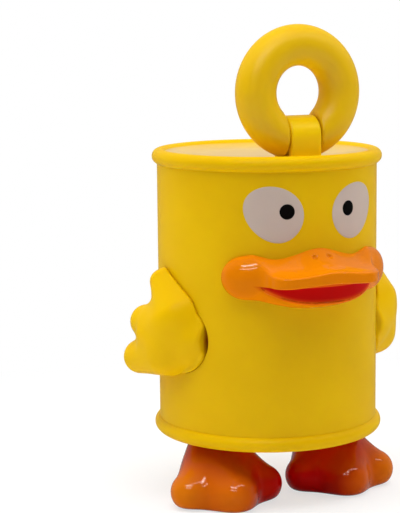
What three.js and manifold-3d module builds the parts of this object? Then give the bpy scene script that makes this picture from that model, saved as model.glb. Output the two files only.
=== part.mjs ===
// A toy duck whose body is a food can with rolled rims. It has a pull ring, a bill, wings, feet and a tail.
// Millimetres, +Z up. The duck faces -Y and stands on z = 0, with the origin midway between bill and tail.
// Its pieces are drawn about the can's axis.
import * as THREE from "three";
import { mergeVertices } from "three/addons/utils/BufferGeometryUtils.js";
import Module from "manifold-3d";

const wasm = await Module();
wasm.setup();

// Can body
const rimDiameter = 75;
const rimProud = 1.65; // the rims stand this far outside the barrel
const beadRadius = 2.45; // half the height of the rolled rim
const beadSpacing = 88; // middle of the lower rim to the middle of the upper rim
const legHeight = 22.4; // soles to the middle of the lower rim
const wall = 2.4;
const endRecess = 2.5; // lid and base lie this far inside the rims

// Gaps
const seatGap = 0.3; // between pieces that are fixed together
const hingeGap = 0.35; // round the ring's bar and beside its strap

// Pull ring and its strap
const ringRadius = 14.65; // to the middle of the tube
const ringTube = 6.45; // radius of the tube
const ringForward = 22; // the ring stands this far in front of the can's axis
const ringBar = 3; // radius of the thin bar that the strap holds
const strapWidth = 10.6;
const strapDepth = 12.8;
const strapProud = 1; // the strap's crown stands this far into the ring's hole
const strapTab = 2; // the strap's tabs reach this far below the lid's wall

// Eyes, as angles from the front of the can and heights above the lower rim
const eyeAngle = 22.9;
const eyeHeight = 72.6;
const eyeWidth = 18.5;
const eyeTall = 17.5;
const eyeTaper = 0.1; // the egg is this share wider above its middle than below
const eyeLean = 1.3; // the top leans outwards by this much
const eyeThickness = 1.2;
const eyeProud = 0.15;
const pupilInward = 5.5; // degrees from the eye's middle towards the front
const pupilRise = 0.9; // above the eye's middle
const gaze = 0.9; // both pupils are turned this many degrees towards the duck's left
const pupilDiameter = 4.9;

// Bill, with heights above the lower rim
const billHalfWidth = 18.4;
const billReach = 11.3; // from the barrel to the tip of the upper bill
const billCorner = 5.5; // radius of the bill's front corners, from above
const billBow = 2; // the front edge curves back by this much at the corners
const lipTop = 54.5;
const lipBottom = 51.5;
const lipRound = 0.8;
const lipRise = 1.2; // the upper bill's edge is this much higher at its middle
const lipSpread = 8;
const bridgeHeight = 61.8; // the bill's top edge on the barrel, at its middle
const browHeight = 58.4; // the same edge, beside the bridge
const bridgeSpread = 9;
const cheekAngle = 37.6;
const cheekHeight = 53;
const cheekWidth = 15;
const cheekTall = 13.6;
const cheekProud = 4.5;
const cheekBlend = 5;
const jawWidth = 50;
const jawTop = 57;
const jawBottom = 44.1;
const jawProud = 3; // at its middle, thinning to its edge
const jawBlend = 2;
const scoopWidth = 37; // the lower bill, a shallow scoop on the jaw
const scoopTop = 57;
const scoopBottom = 44;
const scoopProud = 12.8; // before the mouth is cut, which leaves only its lower part
const mouthHalfWidth = 18.4;
const mouthBottom = 45.4;
const mouthCorner = 50;
const smilePower = 2.2; // shape of the mouth's lower edge: 2 is a parabola
const liningReach = 5.5; // the mouth's lining stands this far off the barrel at its middle
const liningDrop = 1.7; // and is let this far into the scoop
const nostrilSpacing = 5.3;
const nostrilForward = 2.65; // in front of the barrel
const nostrilRadius = 0.95;
const nostrilSink = 0.25; // the nostrils' middles lie this far above the bill's roof

// Wings, with angles from the can's side towards its back and heights above the lower rim
const wingMiddle = 33;
const wingFront = 20.1; // the palm's reach round the barrel, to its front and back
const wingBack = 6;
const wingTop = 18.5; // the palm's reach above and below its middle
const wingBottom = 14.4;
const wingThick = 11.5;
const wingThin = 5;
const wingEdge = 18; // the palm swells to its thickness within this distance of its outline
const wingSwell = 1.35; // power of that swelling: 2 is round, 1 is straight
const palmPower = 1.6; // power of the palm's outline at its straighter top front
const thickTo = 0; // thick up to this share of the palm's top half, and thin from the next
const thinFrom = 0.7;
const feathers = [
  { root: [-12, 0.38, 0.04], tip: [0.5, 0.88, 0.17], thick: 0.52, thin: 0.31 },
  { root: [-8, 0.14, 0.17], tip: [8, 0.13, 0.44], thick: 0.61, thin: 0.48 },
  { root: [-6, -0.38, 0.28], tip: [11, -0.52, 0.6], thick: 0.57, thin: 0.48 },
]; // root and tip: angle, rise as a share of the palm's top, stand-off and radius as shares of its thickness
const featherBlend = 2.5;
const hubAngle = -13.7; // the round hub that plugs into the barrel
const hubHeight = 32;
const hubRadius = 11.5;
const notchAngle = -50.3; // a round notch before the wing lays the hub's front edge bare
const notchRadius = 13.5;
const notchDepth = 2.5;
const pegReach = 2; // the wings' and feet's pegs reach this far past the wall's inner face

// Feet, about their ankles
const footSpacing = 41; // between the ankles' middles
const ankleBack = -3.5;
const ankleRadius = 7.2;
const ankleFlare = 2; // the ankle widens by this much towards the instep
const ankleBlend = 7;
const instepForward = 7.5;
const instepHeight = 3;
const instepRadii = [13, 15.5, 16.5];
const leftSplay = -6; // degrees that each foot is turned outwards on its peg
const rightSplay = 8;
const footPegRadius = 5;
const footLength = 27.6; // from the ankle's middle to the middle toe's tip
const toeRoot = [0, -2, 11.5];
const toeRootRadius = 7;
const toeLevel = 5.2;
const toes = [
  { angle: -46, reach: 0.83, radius: 6.2 },
  { angle: -1.5, reach: 1, radius: 6.6 },
  { angle: 43, reach: 0.85, radius: 6.2 },
  { angle: 180, reach: 0.42, radius: 6.6 },
]; // inner, middle and outer toe and the heel, with their reach as a share of the foot's length
const toeBlend = 4;

// Tail, with heights above the lower rim
const tailReach = 18;
const tailWidth = 24;
const tailTop = 34.3;
const tailTip = 22.4;
const tailBottom = 3.5;
const tailTipRadius = 2.4;

// Rear plug, with its height above the lower rim
const plugHeight = 62.3;
const plugFlange = 9.3; // radius
const plugNeck = 7.7;
const plugCup = 6.5;
const plugDepth = 9;
const plugFlangeThickness = 1.3;
const plugTabRadius = 2.8;
const plugTabOut = 6.6; // the finger tab, sideways and down from the plug's middle
const plugTabDown = 10;

// Facets
const canSegments = 52;
const smallSegments = 24;
const eyeSegments = 28;
const hubSegments = 36;
const rimSteps = 7; // round a rolled rim
const mouthSteps = 12; // along each half of the smile
const tailSteps = 10;
const tailSides = 24;
const billStep = 2.15; // cells of the nets over the moulded forms
const wingStep = 2.5;
const footStep = 2.9;
const fieldRoom = 3; // between a form and the edge of its net
const evenPasses = 4;

// Values that follow from the sizes above
const rimRadius = rimDiameter / 2;
const barrelRadius = rimRadius - rimProud;
const beadCentre = rimRadius - beadRadius;
const lowerBead = legHeight;
const upperBead = legHeight + beadSpacing;
const lidTop = upperBead + beadRadius - endRecess;
const baseBottom = lowerBead - beadRadius + endRecess;
const seatRadius = barrelRadius + seatGap;
const cheekBottom = cheekHeight - cheekTall / 2;
const cheekTop = cheekHeight + cheekTall / 2;
const above = (height) => lowerBead + height;
const degrees = THREE.MathUtils.degToRad;

// Signed fields: negative inside a form, with the distance in millimetres near its surface
function blend(a, b, radius) {
  const share = Math.max(radius - Math.abs(a - b), 0) / radius;
  return Math.min(a, b) - (share * share * radius) / 4;
}

function meet(a, b, radius) {
  return -blend(-a, -b, radius);
}

function ellipsoid(p, centre, radii) {
  const q = p.clone().sub(centre).divide(radii);
  const slope = q.clone().divide(radii).length();
  return slope < 1e-9 ? -Math.min(radii.x, radii.y, radii.z) : (q.length() * (q.length() - 1)) / slope;
}

function limb(p, from, to, fromRadius, toRadius) {
  const along = to.clone().sub(from);
  const share = THREE.MathUtils.clamp(p.clone().sub(from).dot(along) / along.lengthSq(), 0, 1);
  return p.distanceTo(from.clone().lerp(to, share)) - THREE.MathUtils.lerp(fromRadius, toRadius, share);
}

const middleOf = (points) =>
  points.reduce((sum, p) => sum.add(p), new THREE.Vector3()).divideScalar(points.length);

// Moves a point onto the surface of a field, along the field's slope.
function settle(field, p, step) {
  const probe = step * 0.05;
  const slope = new THREE.Vector3();
  for (const axis of ["x", "y", "z"]) {
    const ahead = p.clone();
    const behind = p.clone();
    ahead[axis] += probe;
    behind[axis] -= probe;
    slope[axis] = (field(ahead) - field(behind)) / (2 * probe);
  }
  const shift = slope.multiplyScalar(-field(p) / Math.max(slope.lengthSq(), 1e-6));
  return p.add(shift.clampLength(0, step / 2));
}

// The surface of a field as a closed net, with one vertex in each cell that the surface crosses.
function fieldGeometry(field, low, high, step) {
  const count = ["x", "y", "z"].map((axis) => Math.ceil((high[axis] - low[axis]) / step) + 1);
  const place = (i, j, k) => new THREE.Vector3(i, j, k).multiplyScalar(step).add(low);
  const slot = (i, j, k) => (k * count[1] + j) * count[0] + i;
  const values = new Float64Array(count[0] * count[1] * count[2]);
  const eachNode = (visit) => {
    for (let k = 0; k < count[2]; k++)
      for (let j = 0; j < count[1]; j++) for (let i = 0; i < count[0]; i++) visit(i, j, k);
  };
  eachNode((i, j, k) => {
    values[slot(i, j, k)] = field(place(i, j, k));
  });

  const corners = [0, 1, 2, 3, 4, 5, 6, 7].map((bits) => [bits & 1, (bits >> 1) & 1, bits >> 2]);
  const edges = corners.flatMap((a, n) =>
    [1, 2, 4].filter((bit) => !(n & bit)).map((bit) => [a, corners[n | bit]]),
  );
  const points = [];
  const vertexOf = new Map();
  eachNode((i, j, k) => {
    if (i + 1 >= count[0] || j + 1 >= count[1] || k + 1 >= count[2]) return;
    const middle = new THREE.Vector3();
    let crossings = 0;
    for (const [a, b] of edges) {
      const va = values[slot(i + a[0], j + a[1], k + a[2])];
      const vb = values[slot(i + b[0], j + b[1], k + b[2])];
      if (va < 0 === vb < 0) continue;
      const from = place(i + a[0], j + a[1], k + a[2]);
      middle.add(from.lerp(place(i + b[0], j + b[1], k + b[2]), va / (va - vb)));
      crossings += 1;
    }
    if (!crossings) return;
    vertexOf.set(slot(i, j, k), points.length);
    points.push(settle(field, middle.divideScalar(crossings), step));
  });

  const quads = [];
  const around = [
    [-1, -1],
    [0, -1],
    [0, 0],
    [-1, 0],
  ];
  eachNode((i, j, k) => {
    for (let axis = 0; axis < 3; axis++) {
      const next = [i, j, k];
      next[axis] += 1;
      if (next[axis] >= count[axis]) continue;
      const inside = values[slot(i, j, k)] < 0;
      if (inside === values[slot(...next)] < 0) continue;
      const quad = around.map(([u, v]) => {
        const cell = [i, j, k];
        cell[(axis + 1) % 3] += u;
        cell[(axis + 2) % 3] += v;
        return vertexOf.get(slot(...cell));
      });
      quads.push(inside ? quad : quad.reverse());
    }
  });

  // The net is evened out: each vertex moves towards its neighbours' middle and back onto the surface.
  const neighbours = points.map(() => []);
  for (const quad of quads) quad.forEach((n, at) => neighbours[n].push(points[quad[(at + 1) % 4]]));
  for (let pass = 0; pass < evenPasses; pass++) {
    const middles = neighbours.map((near) => middleOf(near));
    points.forEach((p, n) => settle(field, p.lerp(middles[n], 0.5), step));
  }

  // Each quad is split along the diagonal that lies nearer the surface.
  const off = (a, b) => Math.abs(field(middleOf([points[a], points[b]])));
  const triangles = quads.flatMap(([a, b, c, d]) =>
    off(a, c) < off(b, d) ? [a, b, c, a, c, d] : [a, b, d, b, c, d],
  );
  return new THREE.BufferGeometry().setFromPoints(points).setIndex(triangles);
}

// A closed skin through rings of points of the same count, capped flat at both ends.
function loftGeometry(rings) {
  const sides = rings[0].length;
  const points = [...rings.flat(), middleOf(rings[0]), middleOf(rings.at(-1))];
  const first = points.length - 2;
  const triangles = [];
  for (let n = 0; n < sides; n++) {
    const next = (n + 1) % sides;
    const top = (rings.length - 1) * sides;
    triangles.push(first, next, n, first + 1, top + n, top + next);
    for (let row = 0; row + 1 < rings.length; row++) {
      const a = row * sides;
      triangles.push(a + n, a + next, a + sides + next, a + n, a + sides + next, a + sides + n);
    }
  }
  return new THREE.BufferGeometry().setFromPoints(points).setIndex(triangles);
}

// Solids for joining and cutting
function solid(geometry) {
  const bare = geometry.clone();
  bare.deleteAttribute("normal");
  bare.deleteAttribute("uv");
  const merged = mergeVertices(bare, 1e-3);
  return new wasm.Manifold(
    new wasm.Mesh({
      numProp: 3,
      vertProperties: merged.attributes.position.array,
      triVerts: new Uint32Array(merged.index.array),
    }),
  );
}

function geometryOf(made) {
  const mesh = made.getMesh();
  return new THREE.BufferGeometry()
    .setAttribute("position", new THREE.BufferAttribute(mesh.vertProperties, 3))
    .setIndex(new THREE.BufferAttribute(mesh.triVerts, 1));
}

function revolve(profile, segments) {
  const points = profile.map(([radius, height]) => new THREE.Vector2(radius, height));
  return new THREE.LatheGeometry(points, segments).rotateX(Math.PI / 2);
}

// An upright round bar between two heights
function post(radius, bottom, top, segments) {
  return new THREE.CylinderGeometry(radius, radius, top - bottom, segments)
    .rotateX(Math.PI / 2)
    .translate(0, 0, (bottom + top) / 2);
}

// A prism of an outline drawn as seen from the front, from one distance before the can's axis to another
function frontPrism(outline, near, far) {
  return new THREE.ExtrudeGeometry(new THREE.Shape(outline), { depth: far - near, bevelEnabled: false })
    .translate(0, 0, near)
    .rotateX(Math.PI / 2);
}

function box(low, high) {
  const size = new THREE.Vector3(...high).sub(new THREE.Vector3(...low));
  return new THREE.BoxGeometry(size.x, size.y, size.z).translate(
    low[0] + size.x / 2,
    low[1] + size.y / 2,
    low[2] + size.z / 2,
  );
}

function arc(centreRadius, centreHeight, radius, from, to, steps) {
  return Array.from({ length: steps + 1 }, (_, n) => {
    const angle = THREE.MathUtils.lerp(from, to, n / steps);
    return [centreRadius + radius * Math.cos(angle), centreHeight + radius * Math.sin(angle)];
  });
}

// What hugs the barrel is cut by a post of this radius
const barrelPost = (radius) => solid(post(radius, 0, upperBead + rimDiameter, canSegments));
const barrelShell = (inner, outer) => barrelPost(outer).subtract(barrelPost(inner));

// Places a form drawn at the front of the can at an angle round it, positive towards the duck's left
const turned = (geometry, angle) => geometry.rotateZ(degrees(angle));

function eyeOutline(side, margin) {
  return Array.from({ length: eyeSegments }, (_, n) => {
    const turn = (n / eyeSegments) * Math.PI * 2;
    const rise = Math.sin(turn);
    const across = (eyeWidth / 2 + margin) * Math.cos(turn) * (1 + eyeTaper * rise) + side * eyeLean * rise;
    return new THREE.Vector2(across, above(eyeHeight) + (eyeTall / 2 + margin) * rise);
  });
}

function eyePrism(side, margin) {
  const prism = frontPrism(eyeOutline(side, margin), barrelRadius - eyeWidth, barrelRadius + wall);
  return solid(turned(prism, side * eyeAngle));
}

function pupilPost(side, radius) {
  const bar = new THREE.CylinderGeometry(radius, radius, eyeWidth, smallSegments);
  bar.translate(0, -barrelRadius, above(eyeHeight + pupilRise));
  return solid(turned(bar, side * (eyeAngle - pupilInward) + gaze));
}

function eye(side) {
  const shell = barrelShell(barrelRadius - eyeThickness, barrelRadius + eyeProud);
  return eyePrism(side, 0).intersect(shell).subtract(pupilPost(side, pupilDiameter / 2 + seatGap));
}

function pupil(side) {
  const shell = barrelShell(barrelRadius - eyeThickness, barrelRadius + 2 * eyeProud);
  return pupilPost(side, pupilDiameter / 2).intersect(shell);
}

// Height of the mouth's lower edge, from its share of the way to the mouth's corner
const smile = (share) => THREE.MathUtils.lerp(mouthBottom, mouthCorner, Math.abs(share) ** smilePower);

// Mouth: a wide smile, flat above, under the upper bill. The drop lowers its lower edge.
function mouthOutline(margin, drop) {
  const half = mouthHalfWidth + margin;
  const roof = above(lipBottom) + margin;
  const lower = Array.from({ length: 2 * mouthSteps + 1 }, (_, n) => {
    const share = n / mouthSteps - 1;
    return new THREE.Vector2(half * share, above(smile(share)) - margin - drop);
  });
  return [new THREE.Vector2(-half, roof), ...lower, new THREE.Vector2(half, roof)];
}

// A post before the barrel, as wide as the mouth where it meets the barrel, that bounds the mouth's lining
function liningPost(margin) {
  const meets = Math.sqrt(barrelRadius ** 2 - mouthHalfWidth ** 2);
  const rise = barrelRadius + liningReach - meets;
  const radius = (mouthHalfWidth ** 2 + rise ** 2) / (2 * rise);
  const bar = post(radius + margin, above(0), above(beadSpacing), canSegments);
  return solid(bar.translate(0, radius - barrelRadius - liningReach, 0));
}

const mouthPrism = (margin, drop) =>
  solid(frontPrism(mouthOutline(margin, drop), barrelRadius / 2, rimDiameter));

function mouthPanel() {
  return mouthPrism(-seatGap, liningDrop).intersect(liningPost(-seatGap)).subtract(barrelPost(seatRadius));
}

// Bill: the upper bill overhangs the mouth, with a round cheek at each end and a scoop-shaped lower bill
const swell = (offset, spread) => Math.exp(-((offset / spread) ** 2));

function billRoof(side, ahead) {
  const bridge = THREE.MathUtils.lerp(browHeight, bridgeHeight, swell(side, bridgeSpread));
  const share = THREE.MathUtils.clamp(ahead / billReach, -0.5, 1);
  const edge = lipTop + lipRise * swell(side, lipSpread);
  return THREE.MathUtils.lerp(bridge, edge, Math.sin((share * Math.PI) / 2));
}

function billField(p) {
  const side = Math.abs(p.x);
  const ahead = Math.hypot(p.x, p.y) - barrelRadius;
  const height = p.z - lowerBead;
  const unrolled = new THREE.Vector3(Math.atan2(side, -p.y) * barrelRadius, ahead, height);

  const tip = -barrelRadius - billReach + billBow * (side / billHalfWidth) ** 2;
  const inSide = side - (billHalfWidth - billCorner);
  const inFront = tip + billCorner - p.y;
  const plan = Math.hypot(Math.max(inSide, 0), Math.max(inFront, 0)) - billCorner;
  const upper = meet(meet(plan, height - billRoof(side, ahead), lipRound), lipBottom - height, lipRound);

  const lobe = (arcLength, low, high, width, proud) =>
    ellipsoid(
      unrolled,
      new THREE.Vector3(arcLength, 0, (low + high) / 2),
      new THREE.Vector3(width / 2, proud, (high - low) / 2),
    );
  const cheekArc = degrees(cheekAngle) * barrelRadius;
  const cheek = lobe(cheekArc, cheekBottom, cheekTop, cheekWidth, cheekProud);
  const jaw = lobe(0, jawBottom, jawTop, jawWidth, jawProud);
  const scoopEdge = lipBottom - jawBlend;
  const scoop = Math.max(lobe(0, scoopBottom, scoopTop, scoopWidth, scoopProud), height - scoopEdge);
  const whole = blend(blend(upper, cheek, cheekBlend), blend(jaw, scoop, jawBlend), jawBlend);
  return Math.max(whole, -ahead - wall);
}

function bill() {
  const half = rimRadius + cheekProud + fieldRoom;
  const reach = barrelRadius + Math.max(billReach, scoopProud) + fieldRoom;
  const bottom = Math.min(jawBottom, scoopBottom, cheekBottom);
  const top = Math.max(bridgeHeight, jawTop, scoopTop, cheekTop);
  const low = new THREE.Vector3(-half, -reach, above(bottom) - fieldRoom);
  const high = new THREE.Vector3(half, 0, above(top) + fieldRoom);
  let made = solid(fieldGeometry(billField, low, high, billStep));
  made = made.subtract(mouthPrism(0, 0)).subtract(mouthPrism(0, liningDrop).intersect(liningPost(0)));
  made = made.subtract(barrelPost(seatRadius));
  const roof = billRoof(nostrilSpacing / 2, nostrilForward) + nostrilSink;
  for (const side of [-1, 1]) {
    const spot = new THREE.SphereGeometry(nostrilRadius, 12, 8);
    spot.translate((side * nostrilSpacing) / 2, -barrelRadius - nostrilForward, above(roof));
    made = made.subtract(solid(spot));
  }
  return made;
}

// Wings: a palm laid on the barrel and three feathers that point back, drawn on the duck's left.
// A feather's end, from its angle towards the back, rise above the palm's middle and stand-off
function featherEnd([angle, rise, off]) {
  const radius = barrelRadius + off * wingThick;
  const turn = degrees(angle);
  const height = above(wingMiddle + rise * wingTop);
  return new THREE.Vector3(radius * Math.cos(turn), radius * Math.sin(turn), height);
}

// Negative inside the palm's outline, from the arc round the barrel and the rise above the palm's middle
function palmOutline(across, rise) {
  const power = rise > 0 && across < 0 ? palmPower : 2;
  const long = Math.abs(across) / (across > 0 ? wingBack : wingFront);
  const tall = Math.abs(rise) / (rise > 0 ? wingTop : wingBottom);
  return ((long ** power + tall ** power) ** (1 / power) - 1) * wingBottom;
}

function wingField(p) {
  const across = Math.atan2(p.y, p.x) * barrelRadius;
  const out = Math.hypot(p.x, p.y) - barrelRadius;
  const rise = p.z - above(wingMiddle);
  const upward = THREE.MathUtils.smoothstep(rise / wingTop, thickTo, thinFrom);
  const thickness = THREE.MathUtils.lerp(wingThick, wingThin, upward);
  const inward = Math.max(1 + palmOutline(across, rise) / wingEdge, 0) ** wingSwell;
  const outward = (Math.max(out, 0) / thickness) ** wingSwell;
  const palm = ((inward + outward) ** (1 / wingSwell) - 1) * thickness;
  const whole = feathers.reduce((form, { root, tip, thick, thin }) => {
    const feather = limb(p, featherEnd(root), featherEnd(tip), thick * wingThick, thin * wingThick);
    return blend(form, feather, featherBlend);
  }, palm);
  return Math.max(whole, -out - wall);
}

// A bar straight out from the can's axis on the duck's left side, from one distance to another
function sideBar(angle, radius, from, to) {
  return new THREE.CylinderGeometry(radius, radius, to - from, hubSegments)
    .rotateZ(Math.PI / 2)
    .translate((from + to) / 2, 0, above(hubHeight))
    .rotateZ(degrees(angle));
}

function leftWing() {
  const reach = Math.max(wingFront, wingTop, wingBottom) + wingThick;
  const low = new THREE.Vector3(barrelRadius / 2, -reach, above(wingMiddle) - reach);
  const high = new THREE.Vector3(rimRadius + 2 * wingThick, reach, above(wingMiddle) + reach);
  const dome = solid(fieldGeometry(wingField, low, high, wingStep)).subtract(barrelPost(seatRadius));
  const hub = solid(sideBar(hubAngle, hubRadius - seatGap, barrelRadius - wall - pegReach, rimRadius));
  const notch = solid(sideBar(notchAngle, notchRadius, barrelRadius / 2, rimDiameter));
  return dome
    .add(hub.intersect(barrelPost(seatRadius + seatGap)))
    .subtract(notch.subtract(barrelPost(barrelRadius - notchDepth)));
}

// A foot about its ankle: three webbed toes with a flat sole, and a peg for the can's base
function footField(p) {
  const shank = limb(
    p,
    new THREE.Vector3(0, 0, baseBottom + ankleRadius),
    new THREE.Vector3(0, 0, ankleRadius),
    ankleRadius,
    ankleRadius + ankleFlare,
  );
  const instep = ellipsoid(
    p,
    new THREE.Vector3(0, -instepForward, instepHeight),
    new THREE.Vector3(...instepRadii),
  );
  return toes.reduce(
    (form, { angle, reach, radius }) => {
      const turn = degrees(angle);
      const span = reach * footLength - radius;
      const tip = new THREE.Vector3(Math.sin(turn) * span, -Math.cos(turn) * span, toeLevel);
      return blend(form, limb(p, new THREE.Vector3(...toeRoot), tip, toeRootRadius, radius), toeBlend);
    },
    blend(instep, shank, ankleBlend),
  );
}

function foot() {
  const span = footLength + toeBlend;
  const low = new THREE.Vector3(-span, -span, -footLength);
  const high = new THREE.Vector3(span, span, baseBottom + footLength);
  const floor = box([-span, -span, -2 * footLength], [span, span, 0]);
  const ceiling = box([-span, -span, baseBottom - seatGap], [span, span, baseBottom + 2 * footLength]);
  const pegTop = baseBottom + wall + pegReach;
  const peg = post(footPegRadius - seatGap, baseBottom - ankleRadius, pegTop, smallSegments);
  return solid(fieldGeometry(footField, low, high, footStep))
    .subtract(solid(floor))
    .subtract(solid(ceiling))
    .add(solid(peg));
}

// Tail: a pointed bump with a convex top and a hollow underside, moulded on the barrel's back
function tailGeometry() {
  const rings = Array.from({ length: tailSteps + 1 }, (_, row) => {
    const out = THREE.MathUtils.lerp(-wall, tailReach, row / tailSteps);
    const share = Math.max(out, 0) / tailReach;
    const full = Math.sqrt(1 - share ** 2);
    const upward = THREE.MathUtils.lerp(tailTipRadius, tailTop - tailTip, full);
    const downward = THREE.MathUtils.lerp(tailTipRadius, tailTip - tailBottom, (1 - share) ** 2);
    const half = THREE.MathUtils.lerp(tailTipRadius, tailWidth / 2, full);
    const round = row === tailSteps ? 0.5 : 1;
    return Array.from({ length: tailSides }, (_, n) => {
      const turn = (n / tailSides) * Math.PI * 2;
      const across = -half * round * Math.cos(turn);
      const rise = round * Math.sin(turn) * (Math.sin(turn) > 0 ? upward : downward);
      return new THREE.Vector3(across, barrelRadius + out, above(tailTip + rise));
    });
  });
  return loftGeometry(rings);
}

// Rear plug: a soft stopper with a flange and a finger tab
function plugBar(radius, from, to) {
  return new THREE.CylinderGeometry(radius, radius, to - from, smallSegments)
    .translate(0, (from + to) / 2, above(plugHeight));
}

function rearPlug() {
  const outer = barrelRadius + plugFlangeThickness;
  const bottom = outer - plugDepth;
  const tab = new THREE.CylinderGeometry(plugTabRadius, plugTabRadius, rimRadius, smallSegments);
  tab.translate(plugTabOut, rimRadius, above(plugHeight) - plugTabDown);
  const web = new THREE.BoxGeometry(plugTabRadius, rimRadius, Math.hypot(plugTabOut, plugTabDown));
  web.translate(0, rimRadius, -Math.hypot(plugTabOut, plugTabDown) / 2);
  web.rotateY(-Math.atan2(plugTabOut, plugTabDown)).translate(0, 0, above(plugHeight));
  return solid(plugBar(plugFlange, barrelRadius / 2, rimDiameter))
    .add(solid(tab))
    .add(solid(web))
    .intersect(barrelShell(seatRadius, outer + seatGap))
    .add(solid(plugBar(plugNeck - seatGap, bottom, barrelRadius + seatGap)))
    .subtract(solid(plugBar(plugCup, bottom + plugFlangeThickness, rimDiameter)));
}

// Pull ring about its bar: a fat ring whose foot is a thin bar, held by the strap
const ringAxis = lidTop + seatGap + ringTube;

function pullRing() {
  const slot = strapWidth / 2 + hingeGap;
  const ring = new THREE.TorusGeometry(ringRadius, ringTube, 14, 40).rotateX(Math.PI / 2);
  const bar = new THREE.CylinderGeometry(ringBar, ringBar, 2 * slot + ringBar, smallSegments);
  const window = box([-slot, -2 * ringTube, -2 * ringTube], [slot, 2 * ringTube, ringRadius]);
  return solid(ring.translate(0, 0, ringRadius))
    .subtract(solid(window))
    .add(solid(bar.rotateZ(Math.PI / 2)));
}

function ringStrap() {
  const half = strapDepth / 2;
  const crown = ringTube + strapProud - half;
  const inner = ringBar + hingeGap;
  const foot = -(ringAxis - lidTop - seatGap);
  const tabEnd = -(ringAxis - lidTop) - wall - strapTab;
  const outline = [
    [-half, foot],
    ...arc(0, crown, half, Math.PI, 0, 16),
    [half, foot],
    [half - wall / 2, foot],
    [half - wall / 2, tabEnd],
    [inner, tabEnd],
    ...arc(0, 0, inner, 0, Math.PI, 12),
    [-inner, tabEnd],
    [-half + wall / 2, tabEnd],
    [-half + wall / 2, foot],
  ].map(([y, z]) => new THREE.Vector2(y, z));
  return new THREE.ExtrudeGeometry(new THREE.Shape(outline), { depth: strapWidth, bevelEnabled: false })
    .translate(0, 0, -strapWidth / 2)
    .rotateX(Math.PI / 2)
    .rotateZ(Math.PI / 2)
    .translate(0, -ringForward, ringAxis);
}

// Slots in the lid for the strap's two tabs
function strapSlots() {
  const inner = ringBar + hingeGap - seatGap;
  const outer = strapDepth / 2 - wall / 2 + seatGap;
  const half = strapWidth / 2 + seatGap;
  return [-1, 1].map((side) => {
    const ends = [side * inner - ringForward, side * outer - ringForward].sort((a, b) => a - b);
    return solid(box([-half, ends[0], lidTop - 2 * wall], [half, ends[1], lidTop + wall]));
  });
}

// Can body: a hollow moulded shell with rolled rims, a recessed lid and base, and the tail
function canBody() {
  const start = Math.asin(Math.max(beadRadius - endRecess, 0) / beadRadius);
  const meetBarrel = Math.acos((barrelRadius - beadCentre) / beadRadius);
  const lower = arc(beadCentre, lowerBead, beadRadius, start - Math.PI, meetBarrel, rimSteps);
  const upper = arc(beadCentre, upperBead, beadRadius, -meetBarrel, Math.PI - start, rimSteps);
  const inside = barrelRadius - wall;
  const outer = solid(
    revolve(
      [[0, baseBottom], [lower[0][0], baseBottom], ...lower, ...upper, [lower[0][0], lidTop], [0, lidTop]],
      canSegments,
    ),
  );
  const cavity = solid(post(inside, baseBottom + wall, lidTop - wall, canSegments));
  const plugHole = solid(plugBar(plugNeck, barrelRadius / 2, rimDiameter));
  let made = outer.add(solid(tailGeometry())).subtract(cavity).subtract(plugHole);
  for (const slot of strapSlots()) made = made.subtract(slot);
  for (const side of [-1, 1]) {
    const pocket = eyePrism(side, seatGap);
    made = made.subtract(pocket.subtract(barrelPost(barrelRadius - eyeThickness - seatGap)));
    const pegHole = post(footPegRadius, 0, baseBottom + 2 * wall, smallSegments);
    made = made.subtract(solid(pegHole.translate((side * footSpacing) / 2, ankleBack, 0)));
    const hubHole = sideBar(side > 0 ? hubAngle : 180 - hubAngle, hubRadius, barrelRadius / 2, rimDiameter);
    made = made.subtract(solid(hubHole));
  }
  return made;
}

// Finishes
const finish = (color, roughness) => new THREE.MeshStandardMaterial({ color, roughness, metalness: 0 });
const satinYellow = finish("#e8b80c", 0.5);
const glossOrange = finish("#f08a10", 0.25);
const mouthRed = finish("#b00508", 0.4);
const eyeWhite = finish("#f2ede6", 0.45);
const pupilBlack = finish("#101012", 0.3);
const milkyPlug = finish("#f2dfb8", 0.4);

function piece(name, made, material) {
  const geometry = made.isBufferGeometry ? made : geometryOf(made);
  const mesh = new THREE.Mesh(geometry, material);
  mesh.name = name;
  return mesh;
}

const duck = new THREE.Group();
duck.add(piece("can_body", canBody(), satinYellow));
const ring = piece("pull_ring", pullRing(), satinYellow);
ring.position.set(0, -ringForward, ringAxis);
duck.add(ring);
duck.add(piece("ring_strap", ringStrap(), satinYellow));
duck.add(piece("bill", bill(), glossOrange));
duck.add(piece("mouth_panel", mouthPanel(), mouthRed));
duck.add(piece("rear_plug", rearPlug(), milkyPlug));
const wingSolid = leftWing();
const footSolid = foot();
for (const { name, side, splay } of [
  { name: "left", side: 1, splay: leftSplay },
  { name: "right", side: -1, splay: rightSplay },
]) {
  const wing = piece(name + "_wing", wingSolid, satinYellow);
  wing.scale.x = side;
  const leg = piece(name + "_foot", footSolid, glossOrange);
  leg.scale.x = side;
  leg.rotation.z = side * degrees(splay);
  leg.position.set((side * footSpacing) / 2, ankleBack, 0);
  const white = piece(name + "_eye", eye(side), eyeWhite);
  const dark = piece(name + "_pupil", pupil(side), pupilBlack);
  duck.add(wing, leg, white, dark);
}
duck.position.y = (billReach - tailReach) / 2;

export default new THREE.Group().add(duck);
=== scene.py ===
"""Looks of the can-shaped toy duck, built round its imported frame.

Sizes are in millimetres until a mesh is made.
"""
import math

import bpy
import numpy as np
from mathutils import Matrix, Vector


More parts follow.
